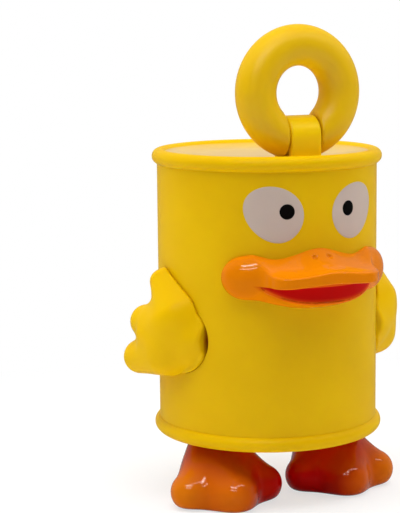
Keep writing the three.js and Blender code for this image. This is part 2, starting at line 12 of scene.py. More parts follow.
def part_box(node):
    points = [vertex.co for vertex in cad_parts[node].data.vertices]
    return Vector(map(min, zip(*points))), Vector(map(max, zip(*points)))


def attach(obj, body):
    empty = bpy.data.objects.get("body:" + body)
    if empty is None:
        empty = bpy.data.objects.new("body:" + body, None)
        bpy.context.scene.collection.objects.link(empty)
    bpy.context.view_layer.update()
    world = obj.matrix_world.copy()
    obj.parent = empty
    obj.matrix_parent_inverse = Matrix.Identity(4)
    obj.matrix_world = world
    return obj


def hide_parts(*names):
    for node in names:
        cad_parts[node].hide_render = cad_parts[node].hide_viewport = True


MM = 0.001
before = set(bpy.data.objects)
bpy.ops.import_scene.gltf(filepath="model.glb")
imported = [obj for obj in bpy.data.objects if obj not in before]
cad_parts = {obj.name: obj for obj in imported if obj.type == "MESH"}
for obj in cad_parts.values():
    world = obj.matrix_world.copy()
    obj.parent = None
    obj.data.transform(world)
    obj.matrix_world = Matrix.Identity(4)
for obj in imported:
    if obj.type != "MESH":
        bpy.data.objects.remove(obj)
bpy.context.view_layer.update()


def node_box(node):
    """Lowest and highest corner of a CAD node, in millimetres."""
    return [np.array(corner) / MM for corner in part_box(node)]


# Sizes from the frame
can_low, can_high = node_box("can_body")
ring_low, ring_high = node_box("pull_ring")
strap_low, strap_high = node_box("ring_strap")
rim_radius = (can_high[0] - can_low[0]) / 2
axis_y = can_low[1] + rim_radius  # the can's axis stands here
ring_tube = 6.45
ring_radius = 14.65
ring_y = (ring_low[1] + ring_high[1]) / 2 - axis_y
ring_middle = ring_high[2] - ring_tube - ring_radius

# Sizes that repeat the part's own
bead_radius = 2.45
barrel_radius = rim_radius - 1.65
end_recess = 2.5
seat_gap = 0.3
wall = 2.4
lower_bead = 22.4
upper_bead = lower_bead + 88
bead_centre = rim_radius - bead_radius
lid_top = upper_bead + bead_radius - end_recess
base_bottom = lower_bead - bead_radius + end_recess
lid_flat, lid_rise = 24, 1.5  # flat to this radius, then rising by this much to the rim


def above(height):
    return lower_bead + height


# Fields: negative inside a form, in millimetres about the can's axis
def blend(a, b, radius):
    share = np.maximum(radius - np.abs(a - b), 0) / radius
    return np.minimum(a, b) - share * share * radius / 4


def meet(a, b, radius):
    return -blend(-a, -b, radius)


def smooth_step(share):
    share = np.clip(share, 0, 1)
    return share * share * (3 - 2 * share)


def ellipsoid(p, centre, radii):
    q = (p - np.array(centre)) / np.array(radii)
    size = np.linalg.norm(q, axis=-1)
    slope = np.linalg.norm(q / np.array(radii), axis=-1)
    return size * (size - 1) / np.maximum(slope, 1e-9)


def limb(p, start, end, start_radius, end_radius):
    start, end = np.array(start, float), np.array(end, float)
    along = end - start
    share = np.clip(((p - start) @ along) / (along @ along), 0, 1)
    near = start + share[..., None] * along
    return np.linalg.norm(p - near, axis=-1) - (start_radius + (end_radius - start_radius) * share)


def around_can(p):
    """Arc length from the front, distance off the barrel and height above the lower rim."""
    across = np.arctan2(p[..., 0], -p[..., 1]) * barrel_radius
    ahead = np.hypot(p[..., 0], p[..., 1]) - barrel_radius
    return np.stack([across, ahead, p[..., 2] - lower_bead], -1)


def settle(field, points, step):
    """Moves points onto the surface of a field, along its slope."""
    probe = step / 20
    slope = np.stack(
        [(field(points + e) - field(points - e)) / (2 * probe) for e in np.eye(3) * probe], -1
    )
    shift = -field(points)[:, None] * slope / np.maximum((slope**2).sum(-1), 1e-6)[:, None]
    length = np.linalg.norm(shift, axis=-1, keepdims=True)
    return points + shift * np.minimum(1, step / 2 / np.maximum(length, 1e-9))


def net(field, low, high, step, passes=3):
    """Vertices and quads of the surface where a field is zero."""
    low = np.array(low, float)
    count = np.ceil((np.array(high) - low) / step).astype(int) + 1
    axes = [low[i] + step * np.arange(count[i]) for i in range(3)]
    grid = np.stack(np.meshgrid(*axes, indexing="ij"), -1)
    values = field(grid)
    cells = count - 1
    total = np.zeros((*cells, 3))
    crossings = np.zeros(cells)
    quads_of = []
    for axis in range(3):
        u, v = (axis + 1) % 3, (axis + 2) % 3
        first = np.moveaxis(values, (axis, u, v), (0, 1, 2))[:-1]
        second = np.moveaxis(values, (axis, u, v), (0, 1, 2))[1:]
        place = np.moveaxis(grid, (axis, u, v), (0, 1, 2))[:-1].copy()
        cross = (first < 0) != (second < 0)
        share = np.where(cross, first / np.where(cross, first - second, 1), 0)
        place[..., axis] += share * step
        sums = np.moveaxis(total, (axis, u, v), (0, 1, 2))
        hits = np.moveaxis(crossings, (axis, u, v), (0, 1, 2))
        for du in (0, 1):
            for dv in (0, 1):
                part = np.s_[:, du : du + cells[u], dv : dv + cells[v]]
                sums += place[part] * cross[part][..., None]
                hits += cross[part]
        at = np.argwhere(cross[:, 1:-1, 1:-1]) + [0, 1, 1]
        quads_of.append((axis, u, v, at, first[tuple(at.T)] < 0))
    used = crossings > 0
    index = np.full(cells, -1)
    index[used] = np.arange(used.sum())
    points = total[used] / crossings[used][:, None]
    quads = []
    for axis, u, v, at, inside in quads_of:
        corner = []
        for du, dv in ((-1, -1), (0, -1), (0, 0), (-1, 0)):
            cell = np.zeros_like(at)
            cell[:, axis] = at[:, 0]
            cell[:, u] = at[:, 1] + du
            cell[:, v] = at[:, 2] + dv
            corner.append(index[tuple(cell.T)])
        quad = np.stack(corner, -1)
        quad[~inside] = quad[~inside][:, ::-1]
        quads.append(quad)
    quads = np.concatenate(quads)
    points = settle(field, points, step)
    start, end = quads.ravel(), np.roll(quads, -1, axis=1).ravel()
    degree = np.bincount(start, minlength=len(points))[:, None]
    for _ in range(passes):
        middle = np.zeros_like(points)
        np.add.at(middle, start, points[end])
        points = settle(field, (points + middle / degree) / 2, step)
    return points, quads


shrink, swell = 0.6, -0.62  # the two steps of one round of smoothing


def smoothed(points, faces, weight, rounds):
    """A net with its creases eased: each round shrinks it a little and swells it back."""
    start, end = faces.ravel(), np.roll(faces, -1, axis=1).ravel()
    size = len(points)
    count = np.bincount(start, minlength=size) + np.bincount(end, minlength=size)
    for step in [shrink, swell] * rounds:
        sums = [
            np.bincount(start, points[end, axis], size) + np.bincount(end, points[start, axis], size)
            for axis in range(3)
        ]
        middle = np.stack(sums, axis=1) / count[:, None]
        points = points + step * weight[:, None] * (middle - points)
    return points


# Meshes
def make(name, points, faces, material=None):
    """A smooth mesh object from points about the can's axis."""
    place = (np.array(points, float) + [0, axis_y, 0]) * MM
    mesh = bpy.data.meshes.new(name)
    mesh.from_pydata(place.tolist(), [], [list(map(int, face)) for face in faces])
    mesh.update()
    mesh.shade_smooth()
    if material:
        mesh.materials.append(material)
    made = bpy.data.objects.new(name, mesh)
    bpy.context.scene.collection.objects.link(made)
    return made


def finish_piece(made, nodes, body="duck"):
    """Puts an object on its body, in place of CAD nodes, which it hides."""
    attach(made, body)
    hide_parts(*nodes)
    return made


def revolve(profile, segments):
    """Points and faces of a profile of (radius, height), closed on the axis at both ends."""
    turn = np.arange(segments) / segments * 2 * math.pi
    ring = np.stack([np.sin(turn), -np.cos(turn)], -1)
    points = [[0, 0, profile[0][1]]]
    for radius, height in profile[1:-1]:
        points.extend([x * radius, y * radius, height] for x, y in ring)
    points.append([0, 0, profile[-1][1]])
    faces = []
    rows = len(profile) - 2
    for n in range(segments):
        after = (n + 1) % segments
        faces.append([0, 1 + after, 1 + n])
        last = 1 + (rows - 1) * segments
        faces.append([last + n, last + after, len(points) - 1])
        for row in range(rows - 1):
            a = 1 + row * segments
            faces.append([a + n, a + after, a + segments + after, a + segments + n])
    return points, faces


def arc(centre, radius, start, end, steps):
    turn = np.linspace(start, end, steps + 1)
    return [(centre[0] + radius * math.cos(a), centre[1] + radius * math.sin(a)) for a in turn]


def cut(made, cutters):
    """Cuts solids out of a mesh object for good."""
    for cutter in cutters:
        step = made.modifiers.new("cut", "BOOLEAN")
        step.operation = "DIFFERENCE"
        step.solver = "EXACT"
        step.object = cutter
    bpy.context.view_layer.update()
    evaluated = made.evaluated_get(bpy.context.evaluated_depsgraph_get())
    mesh = bpy.data.meshes.new_from_object(evaluated)
    made.modifiers.clear()
    made.data = mesh
    for cutter in cutters:
        bpy.data.objects.remove(cutter)


def sharpen(made, degrees):
    made.data.shade_smooth()
    made.data.set_sharp_from_angle(angle=math.radians(degrees))


def round_bar(name, radius, start, end, segments=96):
    """A cylinder between two points about the can's axis, as a cutter."""
    start, end = Vector(start), Vector(end)
    length = (end - start).length
    points, faces = revolve([(0, 0), (radius, 0), (radius, length), (0, length)], segments)
    turn = (end - start).to_track_quat("Z", "Y").to_matrix()
    placed = [tuple(turn @ Vector(p) + start) for p in points]
    return make(name, placed, faces)


# Materials
drift_scale = 45  # noise that moves a colour
sway_scale, sway = 120, 0.5  # noise that moves a distance, and by how much
gloss_scale, gloss_swing = 120, 0.2  # noise that moves the roughness, and by what share
skin_relief = 0.05
sheen_roughness = 0.35
glow_depth, glow_reach = 4, (1.0, 0.45, 0.1)  # light inside the plastic, and its reach by colour
shade_from, shade_gain = 5, 1.6  # the shade under the can fades from here, this much faster to the back
ceiling_gain = 4  # the mouth's colour ends this much faster at its ceiling than at the smile


def srgb(red, green, blue, alpha=1.0):
    def linear(c):
        c /= 255
        return c / 12.92 if c <= 0.04045 else ((c + 0.055) / 1.055) ** 2.4

    return (linear(red), linear(green), linear(blue), alpha)


def math_node(tree, operation, *inputs):
    """The result of one calculation on sockets and numbers."""
    made = tree.nodes.new("ShaderNodeMath")
    made.operation = operation
    for socket, value in zip(made.inputs, inputs):
        if isinstance(value, (int, float)):
            socket.default_value = value
        else:
            tree.links.new(value, socket)
    return made.outputs["Value"]


def noise(tree, scale, detail):
    made = tree.nodes.new("ShaderNodeTexNoise")
    made.inputs["Scale"].default_value = scale
    made.inputs["Detail"].default_value = detail
    tree.links.new(tree.nodes["Texture Coordinate"].outputs["Object"], made.inputs["Vector"])
    return made.outputs["Fac"]


def slow_drift(tree):
    return noise(tree, drift_scale, 3)


def from_can(tree):
    """Place about the can's axis, as three sockets."""
    apart = tree.nodes.new("ShaderNodeSeparateXYZ")
    tree.links.new(tree.nodes["Texture Coordinate"].outputs["Object"], apart.inputs["Vector"])
    across, along, up = apart.outputs
    return across, math_node(tree, "SUBTRACT", along, axis_y * MM), up


def off_axis(tree):
    """Distance from the can's axis, which sways a little."""
    across, along, _ = from_can(tree)
    squares = math_node(tree, "MULTIPLY", across, across)
    squares = math_node(tree, "MULTIPLY_ADD", along, along, squares)
    distance = math_node(tree, "SQRT", squares)
    return math_node(tree, "MULTIPLY_ADD", noise(tree, sway_scale, 3), sway * MM, distance)


def painted_shade_under_can(tree):
    """Distance from the can's axis, with more for what lies behind it: the measure of the painted shade
    under the can on the feet.
    """
    _, along, _ = from_can(tree)
    behind = math_node(tree, "MAXIMUM", math_node(tree, "ADD", along, shade_from * MM), 0)
    return math_node(tree, "MULTIPLY_ADD", behind, shade_gain, off_axis(tree))


def in_mouth(tree):
    """Height above the smile's line, which falls off fast above the mouth's ceiling."""
    across, _, up = from_can(tree)
    aside = math_node(tree, "DIVIDE", math_node(tree, "ABSOLUTE", across), mouth_half_width * MM)
    share = math_node(tree, "POWER", aside, smile_power)
    rise = math_node(tree, "MULTIPLY", share, (mouth_corner - mouth_bottom) * MM)
    height = math_node(tree, "SUBTRACT", up, above(mouth_bottom) * MM)
    room = math_node(tree, "SUBTRACT", above(lip_bottom - lip_droop) * MM, up)
    room = math_node(tree, "MULTIPLY", room, ceiling_gain)
    return math_node(tree, "MINIMUM", math_node(tree, "SUBTRACT", height, rise), room)


def moulded(
    name, stops, roughness, grain, bump, gloss_level=0.3, subsurface=0.1, measure=slow_drift, sheen=0
):
    """Moulded plastic with uneven gloss and a fine skin texture.

    Its colour runs through the stops, as (place, colour), along a measure.
    """
    material = bpy.data.materials.new(name)
    material.use_nodes = True
    tree = material.node_tree
    nodes, links = tree.nodes, tree.links
    shader = nodes["Principled BSDF"]
    nodes.new("ShaderNodeTexCoord")

    low, high = stops[0][0], stops[-1][0]
    along = nodes.new("ShaderNodeMapRange")
    along.inputs["From Min"].default_value = low
    along.inputs["From Max"].default_value = high
    links.new(measure(tree), along.inputs["Value"])
    colour = nodes.new("ShaderNodeValToRGB")
    ramp = colour.color_ramp.elements
    while len(ramp) < len(stops):
        ramp.new(0.5)
    for element, (at, shade) in zip(ramp, stops):
        element.position = (at - low) / (high - low)
        element.color = shade
    links.new(along.outputs["Result"], colour.inputs["Fac"])
    links.new(colour.outputs["Color"], shader.inputs["Base Color"])

    gloss = nodes.new("ShaderNodeMapRange")
    gloss.inputs["To Min"].default_value = roughness * (1 - gloss_swing)
    gloss.inputs["To Max"].default_value = roughness * (1 + gloss_swing)
    links.new(noise(tree, gloss_scale, 4), gloss.inputs["Value"])
    links.new(gloss.outputs["Result"], shader.inputs["Roughness"])

    skin = nodes.new("ShaderNodeBump")
    skin.inputs["Strength"].default_value = bump
    skin.inputs["Distance"].default_value = skin_relief * MM
    links.new(noise(tree, grain, 2), skin.inputs["Height"])
    links.new(skin.outputs["Normal"], shader.inputs["Normal"])

    shader.inputs["Specular IOR Level"].default_value = gloss_level
    shader.inputs["Sheen Weight"].default_value = sheen
    shader.inputs["Sheen Roughness"].default_value = sheen_roughness
    shader.inputs["Subsurface Weight"].default_value = subsurface
    shader.inputs["Subsurface Scale"].default_value = glow_depth * MM
    shader.inputs["Subsurface Radius"].default_value = glow_reach
    return material


def drifting(dark, light):
    """Stops of a colour that drifts a little along its noise."""
    return [(0.3, dark), (0.7, light)]


def at_places(*stops):
    """Stops along a measure, with their places in millimetres."""
    return [(place * MM, shade) for place, shade in stops]


# Can with its tail
tail_reach = 18
tail_width = 24
tail_top, tail_tip, tail_bottom = 34.3, 22.4, 3.5
tail_tip_radius, tail_tip_round = 2.4, 3
tail_fillet = 4.5
tail_patch = 28  # the tail's mesh ends at this distance from its middle
skin_depth = 0.012  # the tail's fillet runs out this far under the barrel's skin
can_segments, rim_steps, lid_steps, sharp_edge = 192, 28, 13, 35
hub_floor, plug_floor, hole_end = 28, 24, 40  # the holes reach from these distances off the axis to the last
lid_level, lid_slack = 0.85, 0.05  # how level a face of the lid is, and how far it may lie below its top


def tail_form(p):
    out = p[..., 1] - barrel_radius
    share = np.clip(out / tail_reach, 0, 1)
    full = np.sqrt(1 - share**2)
    top = tail_tip_radius + (tail_top - tail_tip - tail_tip_radius) * full
    bottom = tail_tip_radius + (tail_tip - tail_bottom - tail_tip_radius) * (1 - share) ** 2
    half = tail_tip_radius + (tail_width / 2 - tail_tip_radius) * full
    rise = p[..., 2] - above(tail_tip)
    reach = np.where(rise > 0, top, bottom)
    side = (np.hypot(p[..., 0] / half, rise / reach) - 1) * np.minimum(half, reach)
    return meet(side, out - tail_reach, tail_tip_round)


def tail_field(p):
    skin = np.hypot(p[..., 0], p[..., 1]) - barrel_radius + skin_depth
    whole = blend(tail_form(p), skin, tail_fillet)
    middle = [0, barrel_radius, above((tail_top + tail_bottom) / 2)]
    patch = np.linalg.norm(p - middle, axis=-1) - tail_patch
    patch = np.maximum(patch, above(0) - p[..., 2])
    return np.maximum(np.maximum(whole, -skin - wall / 2), patch)


def can_shell():
    """The can as one closed skin, with the holes of the wings and the plug cut in."""
    meet_barrel = math.acos((barrel_radius - bead_centre) / bead_radius)
    profile = [(0, base_bottom), (bead_centre - bead_radius, base_bottom)]
    profile += arc((bead_centre, lower_bead), bead_radius, -math.pi, meet_barrel, rim_steps)
    lid_edge = math.pi - math.asin(min((bead_radius - end_recess + lid_rise) / bead_radius, 1))
    profile += arc((bead_centre, upper_bead), bead_radius, -meet_barrel, lid_edge, rim_steps)
    edge_radius = profile[-1][0]
    for share in np.linspace(1, 0, lid_steps):
        profile.append((lid_flat + (edge_radius - lid_flat) * share, lid_top + lid_rise * share**2))
    profile += [(0, lid_top)]
    made = make("can", *revolve(profile, can_segments), satin_yellow)
    turn = math.radians(hub_angle)
    holes = []
    for radius, height, way, floor_at in (
        (hub_radius, hub_height, [-math.cos(turn), math.sin(turn), 0], hub_floor),
        (hub_radius, hub_height, [math.cos(turn), math.sin(turn), 0], hub_floor),
        (plug_neck, plug_height, [0, 1, 0], plug_floor),
    ):
        middle, way = np.array([0, 0, above(height)]), np.array(way)
        holes.append(round_bar("hole", radius, middle + way * floor_at, middle + way * hole_end))
    cut(made, holes)
    sharpen(made, sharp_edge)
    made.data.materials.append(lid_yellow)
    for face in made.data.polygons:
        across, along, up = face.center / MM
        inside = math.hypot(across, along - axis_y) < bead_centre
        level = face.normal.z > lid_level and lid_top - lid_slack < up < lid_top + lid_rise
        face.material_index = 1 if inside and level else 0
    return made


# Bill
bill_half_width = 18.4
bill_reach = 11.3
bill_corner = 5.5
bill_bow = 2.0
lip_top, lip_bottom, lip_round = 54.6, 51.2, 0.8
lip_rise, lip_rise_bottom, lip_rise_spread = 1.2, 0.6, 8
lip_droop, lip_droop_from = 0.4, 18  # the lip hangs by this much at this distance from its middle
bridge_height, brow_height, bridge_spread = 61.8, 58.4, 9
cheek_angle, cheek_height = 37.6, 53.0
cheek_width, cheek_tall, cheek_proud, cheek_blend = 15.0, 13.6, 4.5, 5
jaw_width, jaw_top, jaw_bottom, jaw_proud, jaw_blend = 50, 57, 43.6, 3, 2
scoop_width, scoop_top, scoop_bottom, scoop_proud = 36, 57, 43.4, 10.2
scoop_wall, scoop_depth, scoop_round = 1.2, 1.7, 0.4
lining_drop, lining_gap, lining_reach, lining_spread = 0.05, 0.1, 6.8, 21
mouth_half_width, mouth_bottom, mouth_corner, mouth_limit = 18.4, 46.1, 50.0, 20.0
mouth_round, smile_power = 0.6, 3
nostril_spacing, nostril_forward = 5.3, 2.65
nostril_radius, nostril_sink, nostril_round = 0.95, 0.25, 0.3


def lift(side, most):
    """Rise of the upper bill's edge toward its middle."""
    return most * np.exp(-((side / lip_rise_spread) ** 2))


def smile(p):
    """Height of the mouth's lower edge."""
    share = np.abs(p[..., 0]) / mouth_half_width
    return mouth_bottom + (mouth_corner - mouth_bottom) * share**smile_power


def lip_floor(side):
    """Height of the upper bill's lower edge."""
    return lip_bottom + lift(side, lip_rise_bottom) - lip_droop * (np.abs(side) / lip_droop_from) ** 3


def mouth_outline(p):
    """Negative inside the open mouth, as seen from the front."""
    height = p[..., 2] - lower_bead
    ceiling = lip_floor(p[..., 0])
    return np.maximum(np.maximum(smile(p) - height, height - ceiling), np.abs(p[..., 0]) - mouth_limit)


def around_face(p):
    """Arc length from the front without its sign, distance off the barrel, and height."""
    across, ahead, height = np.moveaxis(around_can(p), -1, 0)
    return np.stack([np.abs(across), ahead, height], -1)


def scoop_field(p):
    middle = [0, 0, (scoop_top + scoop_bottom) / 2]
    return ellipsoid(around_face(p), middle, [scoop_width / 2, scoop_proud, (scoop_top - scoop_bottom) / 2])


def roof_height(side, ahead):
    bridge = brow_height + (bridge_height - brow_height) * np.exp(-((side / bridge_spread) ** 2))
    share = np.sin(np.clip(ahead / bill_reach, -0.5, 1) * math.pi / 2)
    return bridge + (lip_top + lift(side, lip_rise) - bridge) * share


def bill_field(p):
    local = around_face(p)
    ahead, height = local[..., 1], local[..., 2]
    side = np.abs(p[..., 0])
    tip = -barrel_radius - bill_reach + bill_bow * (side / bill_half_width) ** 2
    in_side = np.maximum(side - (bill_half_width - bill_corner), 0)
    in_front = np.maximum(tip + bill_corner - p[..., 1], 0)
    plan = np.hypot(in_side, in_front) - bill_corner
    floor_height = lip_floor(side)
    upper = meet(plan, height - roof_height(side, ahead), lip_round)
    upper = meet(upper, floor_height - height, lip_round)

    cheek_middle = [math.radians(cheek_angle) * barrel_radius, 0, cheek_height]
    cheek = ellipsoid(local, cheek_middle, [cheek_width / 2, cheek_proud, cheek_tall / 2])
    jaw_middle = [0, 0, (jaw_top + jaw_bottom) / 2]
    jaw = ellipsoid(local, jaw_middle, [jaw_width / 2, jaw_proud, (jaw_top - jaw_bottom) / 2])
    scoop = np.maximum(scoop_field(p), height - lip_bottom + jaw_blend)
    whole = blend(blend(upper, cheek, cheek_blend), blend(jaw, scoop, jaw_blend), jaw_blend)
    whole = meet(whole, -mouth_outline(p), mouth_round)
    hollow = np.maximum(scoop_field(p) + scoop_wall, smile(p) - scoop_depth - height)
    whole = meet(whole, -np.maximum(hollow, height - lip_bottom), scoop_round)
    for way in (-1, 1):
        roof = roof_height(nostril_spacing / 2, nostril_forward)
        spot = [way * nostril_spacing / 2, -barrel_radius - nostril_forward, above(roof + nostril_sink)]
        whole = meet(whole, nostril_radius - np.linalg.norm(p - spot, axis=-1), nostril_round)
    return np.maximum(whole, -ahead - wall / 2)


def mouth_field(p):
    """The red lining: a back wall on the barrel and a floor inside the lower jaw."""
    ahead = np.hypot(p[..., 0], p[..., 1]) - barrel_radius
    height = p[..., 2] - lower_bead
    full = np.sqrt(np.clip(1 - (around_face(p)[..., 0] / lining_spread) ** 2, 0, 1))
    back = np.maximum(seat_gap - ahead, ahead - lining_reach * full - 2 * seat_gap)
    back = np.maximum(mouth_outline(p) - scoop_depth / 2, back)
    bed = np.maximum(scoop_field(p) + scoop_wall + lining_gap, seat_gap - ahead)
    bed_top, bed_bottom = smile(p) - lining_drop, smile(p) - scoop_depth + lining_gap
    bed = np.maximum(bed, np.maximum(height - bed_top, bed_bottom - height))
    return np.minimum(back, bed)


# Wings: a palm drawn flat as (arc from the side, height) and laid on the barrel, and three feathers
wing_middle = 33.0
wing_front, wing_back, wing_top, wing_bottom = 20.1, 6, 17.6, 13.6
wing_edge, wing_thick, wing_thin, wing_swell = 18, 12.8, 5, 1.35
wing_thick_to, wing_thin_from = 28, 51  # thick up to the first height, thin from the second
wing_power, wing_shoulder_power = 2.0, 1.6  # roundness of the palm's outline, and at its upper front
wing_seat_round = 0.6
crease_from, crease_span, crease_rounds = 1.5, 2, 60  # creases are eased from this far off the barrel
# Root and tip: angle, rise as a share of feather_rise, and stand-off as a share of feather_size, which
# the two radii after them are shares of too
feathers = [
    ((-12, 0.38, 0.12), (0.5, 0.88, 0.17), 0.6, 0.31),
    ((-8, 0.14, 0.17), (8, 0.13, 0.44), 0.61, 0.48),
    ((-6, -0.38, 0.28), (11, -0.52, 0.6), 0.57, 0.48),
]
feather_size, feather_rise, feather_blend = 11.5, 18.2, 4
hub_angle, hub_height, hub_radius = -13.7, 32, 11.5
hub_gap, hub_low, hub_high = 0.15, -5, 1  # room in the hole, and reach below and above the barrel
notch_middle, notch_radius, notch_depth, notch_round = -31.5, 13.5, 2.5, 0.5


def feather_end(angle, rise, off):
    """Middle of a feather's root or tip."""
    turn = math.radians(angle)
    radius = barrel_radius + off * feather_size
    return [radius * math.cos(turn), radius * math.sin(turn), above(wing_middle + rise * feather_rise)]


def palm_outline(across, height):
    """Negative inside the palm's outline."""
    rise = height - wing_middle
    power = np.where((rise > 0) & (across < 0), wing_shoulder_power, wing_power)
    tall = np.where(rise > 0, wing_top, wing_bottom)
    long = np.where(across > 0, wing_back, wing_front)
    size = ((np.abs(across) / long) ** power + (np.abs(rise) / tall) ** power) ** (1 / power)
    return (size - 1) * wing_bottom


def wing_field(p):
    """The wing on the duck's left."""
    across = np.arctan2(p[..., 1], p[..., 0]) * barrel_radius
    out = np.hypot(p[..., 0], p[..., 1]) - barrel_radius
    height = p[..., 2] - lower_bead
    inward = np.maximum(1 + palm_outline(across, height) / wing_edge, 0)
    upward = smooth_step((height - wing_thick_to) / (wing_thin_from - wing_thick_to))
    thickness = wing_thick + (wing_thin - wing_thick) * upward
    swollen = inward**wing_swell + (np.maximum(out, 0) / thickness) ** wing_swell
    form = (swollen ** (1 / wing_swell) - 1) * thickness
    for root, tip, thick, thin in feathers:
        ends = feather_end(*root), feather_end(*tip)
        feather = limb(p, *ends, thick * feather_size, thin * feather_size)
        form = blend(form, feather, feather_blend)
    form = meet(form, seat_gap - out, wing_seat_round)
    hub_arc = math.radians(hub_angle) * barrel_radius
    hub = np.hypot(across - hub_arc, height - hub_height) - hub_radius + hub_gap
    hub = np.maximum(hub, np.maximum(hub_low - out, out - hub_high))
    notch = notch_radius - np.hypot(across - notch_middle, height - hub_height)
    form = np.minimum(form, hub)
    return meet(form, np.minimum(notch, out + notch_depth), notch_round)


# Feet
foot_spacing, ankle_back = 41, -2.2
ankle_radius, ankle_flare = 7.2, 2
ankle_top, ankle_low = [0, 0, base_bottom + 6], [0, -1.5, 8]
splays = {"left": -6, "right": 8}
instep_middle, instep_size = [0, -7.5, 3], [13.6, 15.8, 16.5]
toe_root, toe_root_radius, toe_level = [0, -2, 11.5], 7, 5.2
toes = [(-46, 23.6, 6.2), (-1.5, 27.6, 6.6), (43, 24.4, 6.2), (180, 12.2, 6.8)]  # angle, reach, radius
toe_blend, ankle_blend, sole_round = 4, 7, 1.6


def foot_field(p):
    """A foot about its ankle."""
    column = limb(p, ankle_top, ankle_low, ankle_radius, ankle_radius + ankle_flare)
    form = blend(ellipsoid(p, instep_middle, instep_size), column, ankle_blend)
    for angle, reach, radius in toes:
        turn = math.radians(angle)
        tip = [math.sin(turn) * (reach - radius), -math.cos(turn) * (reach - radius), toe_level]
        form = blend(form, limb(p, toe_root, tip, toe_root_radius, radius), toe_blend)
    form = meet(form, -p[..., 2], sole_round)
    return np.maximum(form, p[..., 2] - base_bottom + seat_gap)


# Ring and strap
strap_half_width = (strap_high[0] - strap_low[0]) / 2
strap_half_depth = (strap_high[1] - strap_low[1]) / 2
ring_axis = ring_middle - ring_radius
ring_bar, bar_overlap = 3, 2  # radius, and reach into the ring on each side of the strap
hinge_gap = 0.35
window_round, strap_round = 0.8, 1.0


def ring_field(p):
    """The ring about its bar."""
    up = p[..., 2] - ring_radius
    tube = np.hypot(np.hypot(p[..., 0], up) - ring_radius, p[..., 1]) - ring_tube
    window = np.maximum(np.abs(p[..., 0]) - strap_half_width - hinge_gap, up)
    bar = np.hypot(p[..., 1], p[..., 2]) - ring_bar
    bar = np.maximum(bar, np.abs(p[..., 0]) - strap_half_width - bar_overlap)
    return np.minimum(meet(tube, -window, window_round), bar)


def strap_field(p):
    """The strap about the ring's bar."""
    crown = strap_high[2] - ring_axis - strap_half_depth
    side = np.abs(p[..., 1]) - strap_half_depth
    dome = np.hypot(p[..., 1], p[..., 2] - crown) - strap_half_depth
    outline = np.where(p[..., 2] > crown, dome, side)
    outline = np.maximum(outline, lid_top - ring_axis - p[..., 2])
    off_bar = np.hypot(p[..., 1], np.maximum(p[..., 2], 0))
    outline = np.maximum(outline, ring_bar + hinge_gap - off_bar)
    return meet(outline, np.abs(p[..., 0]) - strap_half_width, strap_round)


# Eyes
eye_angle, eye_height, eye_width, eye_tall, eye_taper, eye_lean = 22.9, 72.6, 18.5, 17.5, 0.1, 1.3
eye_proud = 0.15
pupil_angle, pupil_height, pupil_diameter, gaze = 17.4, 73.5, 4.9, 0.9
eye_points, pupil_points = 96, 64
patch_rings, patch_edge = 14, 12  # rings of faces on an eye or pupil, and how sharply its edge turns down


def on_barrel(outline, angle, height, proud):
    """A thin patch on the barrel with a rounded edge, from its outline as seen along the angle."""
    outline = np.array(outline)
    shares = np.sin(np.linspace(0, math.pi / 2, patch_rings))
    layers = [(s, proud * math.sqrt(max(1 - s**patch_edge, 0))) for s in shares[1:]]
    layers.append((1, -seat_gap))
    points = [turned(0, 0, angle, height, proud)]
    for share, off in layers:
        points.extend(turned(x * share, z * share, angle, height, off) for x, z in outline)
    sides = len(outline)
    faces = [[0, 1 + n, 1 + (n + 1) % sides] for n in range(sides)]
    for row in range(len(layers) - 1):
        a = 1 + row * sides
        for n in range(sides):
            after = (n + 1) % sides
            faces.append([a + n, a + sides + n, a + sides + after, a + after])
    return points, faces


def turned(across, rise, angle, height, off):
    """A point of a patch, laid on the barrel and moved off it."""
    turn = math.radians(angle) + math.asin(across / barrel_radius)
    radius = barrel_radius + off
    return [radius * math.sin(turn), -radius * math.cos(turn), above(height + rise)]


def eye_outline(side):
    turn = np.arange(eye_points) / eye_points * 2 * math.pi
    rise = np.sin(turn)
    across = eye_width / 2 * np.cos(turn) * (1 + eye_taper * rise) + side * eye_lean * rise
    return np.stack([across, eye_tall / 2 * rise], -1)


def pupil_outline():
    turn = np.arange(pupil_points) / pupil_points * 2 * math.pi
    return np.stack([np.cos(turn), np.sin(turn)], -1) * pupil_diameter / 2


# Rear plug
plug_height, plug_flange, plug_neck, plug_cup = 62.3, 9.3, 7.7, 6.5
plug_depth, plug_lip = 9, 1.3
plug_gap, plug_overlap = 0.1, 0.2
plug_round, plug_cup_round = 0.8, 0.6
plug_tab, plug_tab_radius, plug_stem_share = (6.6, -10), 2.8, 0.6


def plug_field(p):
    across, rise = p[..., 0], p[..., 2] - above(plug_height)
    out = np.hypot(p[..., 0], p[..., 1]) - barrel_radius
    round_off = np.hypot(across, rise)
    tab = np.hypot(across - plug_tab[0], rise - plug_tab[1]) - plug_tab_radius
    flat = np.stack([across, rise, np.zeros_like(rise)], -1)
    stem_radius = plug_tab_radius * plug_stem_share
    stem = limb(flat, [0, 0, 0], [*plug_tab, 0], plug_tab_radius, stem_radius)
    outline = np.minimum(np.minimum(round_off - plug_flange, tab), stem)
    flange = meet(outline, np.abs(out - plug_lip / 2 - plug_gap) - plug_lip / 2, plug_round)
    bottom = barrel_radius + plug_lip - plug_depth
    neck = np.maximum(round_off - plug_neck + plug_gap, bottom - p[..., 1])
    neck = np.maximum(neck, out - plug_overlap)
    cup = np.maximum(round_off - plug_cup, bottom + plug_lip - p[..., 1])
    return meet(np.minimum(flange, neck), -cup, plug_cup_round)


